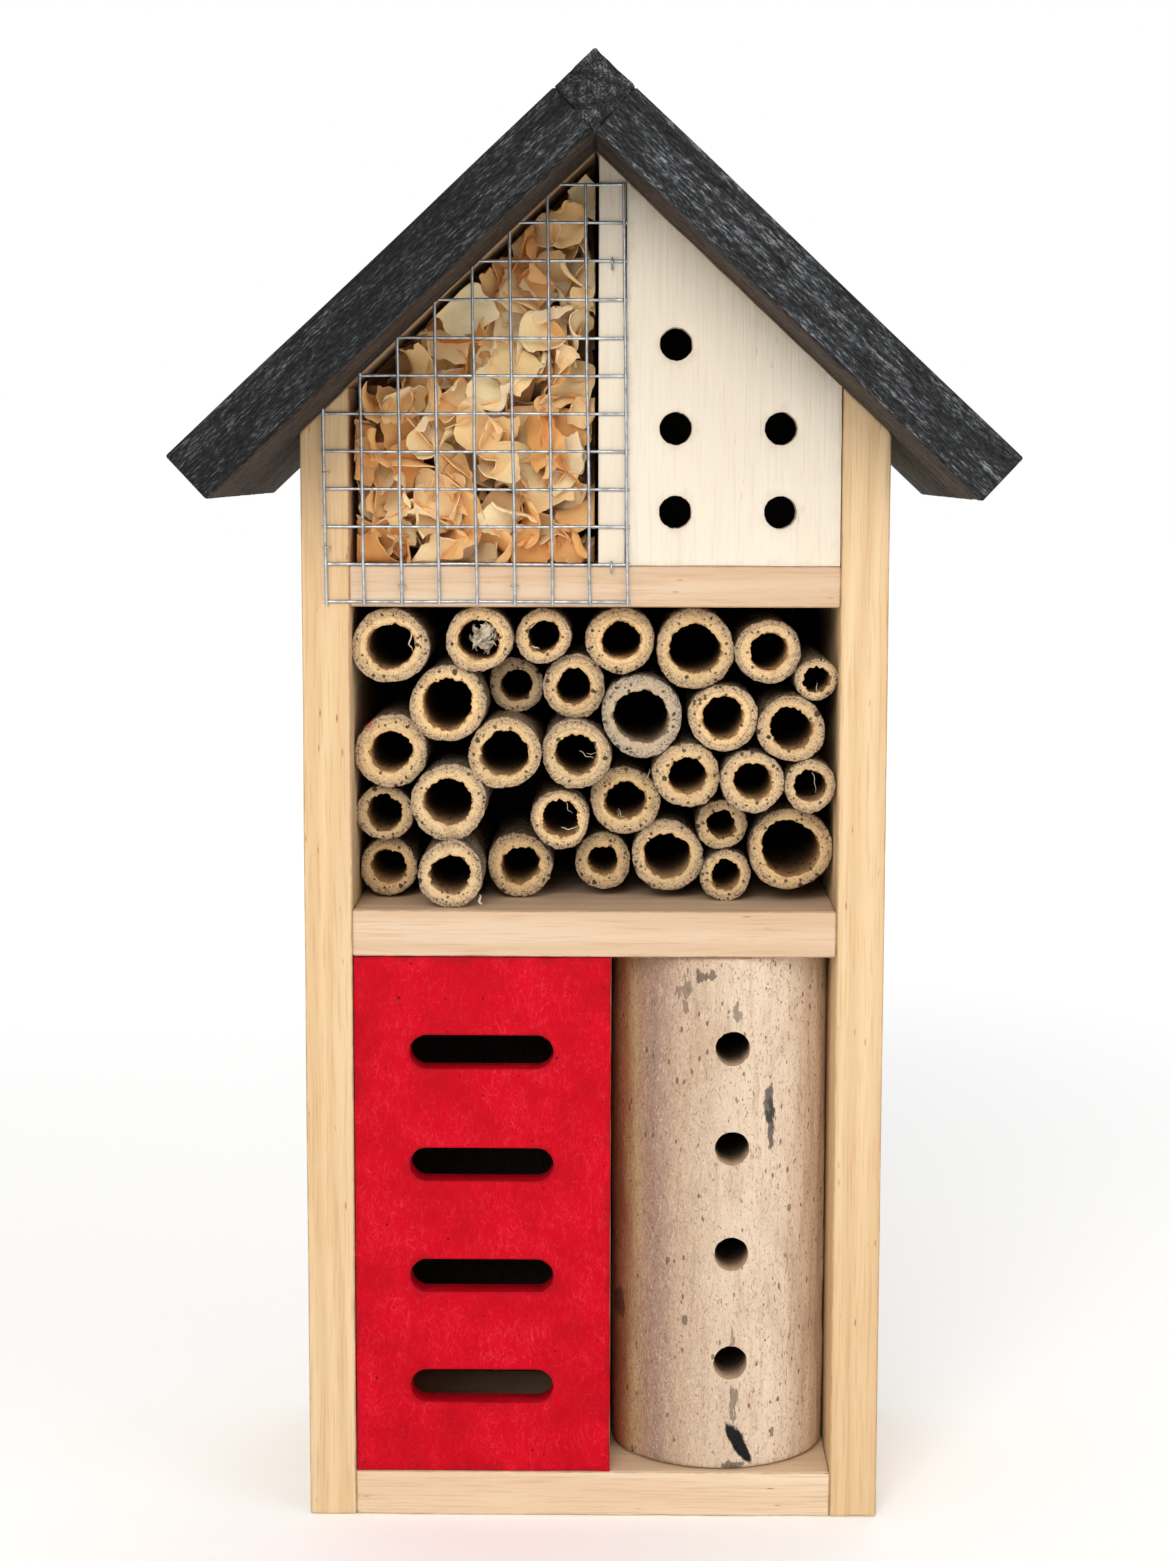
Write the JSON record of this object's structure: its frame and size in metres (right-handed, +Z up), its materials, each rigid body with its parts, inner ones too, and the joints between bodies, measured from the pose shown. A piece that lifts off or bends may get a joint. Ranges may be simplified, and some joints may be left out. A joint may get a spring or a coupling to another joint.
{
  "type": "insect hotel",
  "caption": "Small gabled wooden insect hotel: dark roof, mesh-fronted shavings, drilled panel, bamboo canes, red slotted panel and drilled log.",
  "frame": {"origin": "on the ground, under the centre of the roof's rectangle", "axes": "+Z up, -Y the open front, +X to the right seen from the front"},
  "size_m": [0.136, 0.087, 0.248],
  "materials": {
    "pale_softwood": "planed, unfinished, fine straight grain",
    "pale_plywood": "sanded pale plywood, faint flecks",
    "black_stained_wood": "rough-sawn, black stain, greyed high spots",
    "red_painted_fibreboard": "matt red paint over fibreboard",
    "peeled_log": "peeled roundwood with dark flecks",
    "bamboo": "sawn bamboo cane, fibrous ends",
    "wood_shavings": "loose curled planer shavings",
    "galvanised_wire": "zinc-coated wire",
    "nail_steel": "bright steel, slightly dulled"
  },
  "bodies": {
    "root": {"side_board_left": "pale_softwood", "side_board_right": "pale_softwood", "bottom_board": "pale_softwood", "middle_shelf": "pale_softwood", "upper_shelf": "pale_softwood", "lower_divider": "pale_softwood", "drilled_panel": "pale_plywood", "upper_divider": "pale_plywood", "back_panel": "pale_plywood", "roof_board_left": "black_stained_wood", "roof_board_right": "black_stained_wood", "ridge_batten": "black_stained_wood", "butterfly_panel": "red_painted_fibreboard", "log_block": "peeled_log", "cane_01": "bamboo", "cane_02": "bamboo", "cane_03": "bamboo", "cane_04": "bamboo", "cane_05": "bamboo", "cane_06": "bamboo", "cane_07": "bamboo", "cane_08": "bamboo", "cane_09": "bamboo", "cane_10": "bamboo", "cane_11": "bamboo", "cane_12": "bamboo", "cane_13": "bamboo", "cane_14": "bamboo", "cane_15": "bamboo", "cane_16": "bamboo", "cane_17": "bamboo", "cane_18": "bamboo", "cane_19": "bamboo", "cane_20": "bamboo", "cane_21": "bamboo", "cane_22": "bamboo", "cane_23": "bamboo", "cane_24": "bamboo", "cane_25": "bamboo", "cane_26": "bamboo", "cane_27": "bamboo", "cane_28": "bamboo", "cane_29": "bamboo", "cane_30": "bamboo", "cane_31": "bamboo", "wood_shavings": "wood_shavings", "wire_mesh": "galvanised_wire", "mesh_staples": "galvanised_wire", "side_nails": "nail_steel", "roof_nails": "nail_steel", "back_nails": "nail_steel", "log_nails": "nail_steel", "hanger_plate": "nail_steel", "hanger_screws": "nail_steel"}
  },
  "joints": []
}
